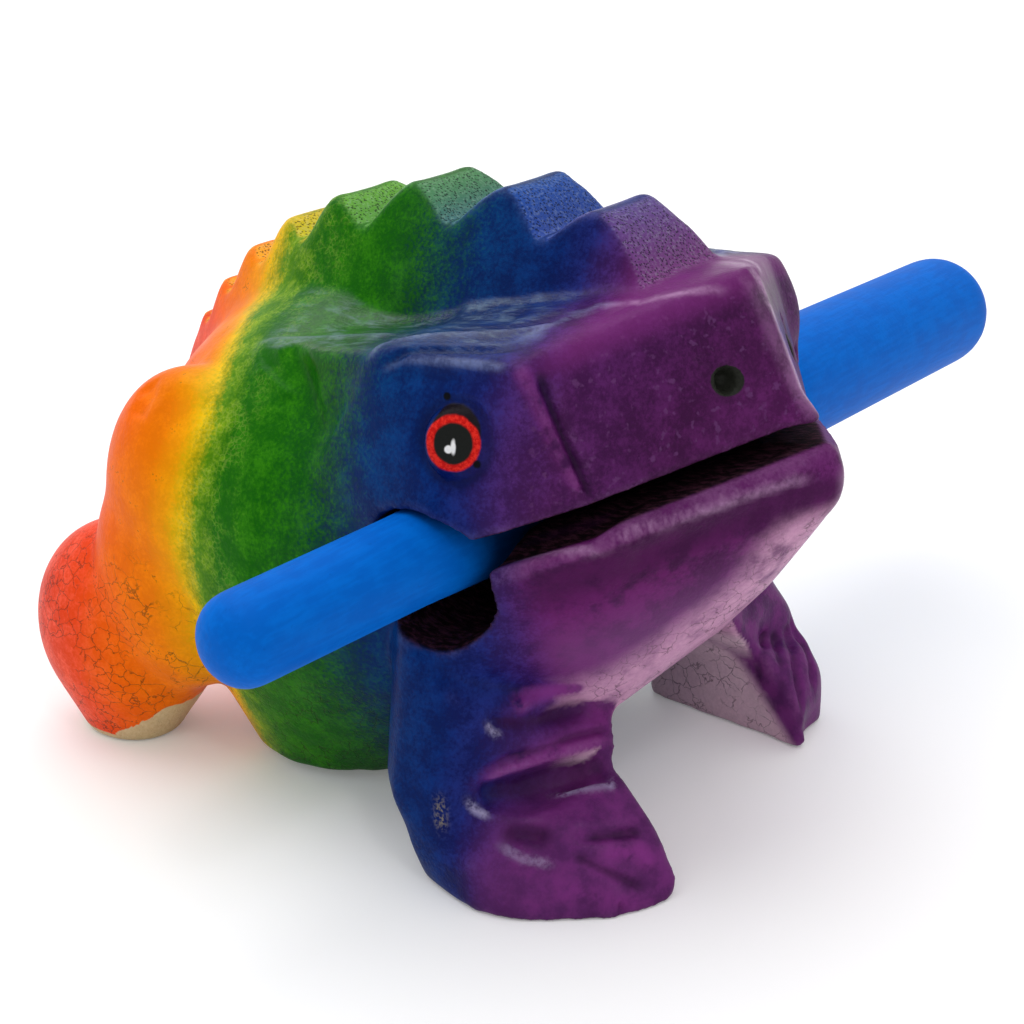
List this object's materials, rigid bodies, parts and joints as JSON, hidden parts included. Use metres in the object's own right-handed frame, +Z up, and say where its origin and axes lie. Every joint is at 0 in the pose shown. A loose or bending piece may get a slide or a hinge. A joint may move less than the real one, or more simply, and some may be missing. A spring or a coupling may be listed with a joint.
{
  "type": "frog guiro",
  "caption": "Carved wooden frog guiro with a toothed crest along its back and an open mouth; its loose turned stick is stored in a bore that runs across the head.",
  "frame": {"origin": "on the floor under the middle of the whole object's box, stored stick included", "axes": "+Z up, -Y the way the frog looks, +X the frog's left, towards the stick's thick end"},
  "size_m": [0.1593, 0.1032, 0.0757],
  "materials": {
    "painted_wood": "airbrushed rainbow paint from purple at the snout to red at the rump, crackled and lacquered",
    "blue_paint": "satin blue paint on turned wood"
  },
  "bodies": {
    "root": {"frog_body": "painted_wood", "stick": "blue_paint"}
  },
  "joints": []
}
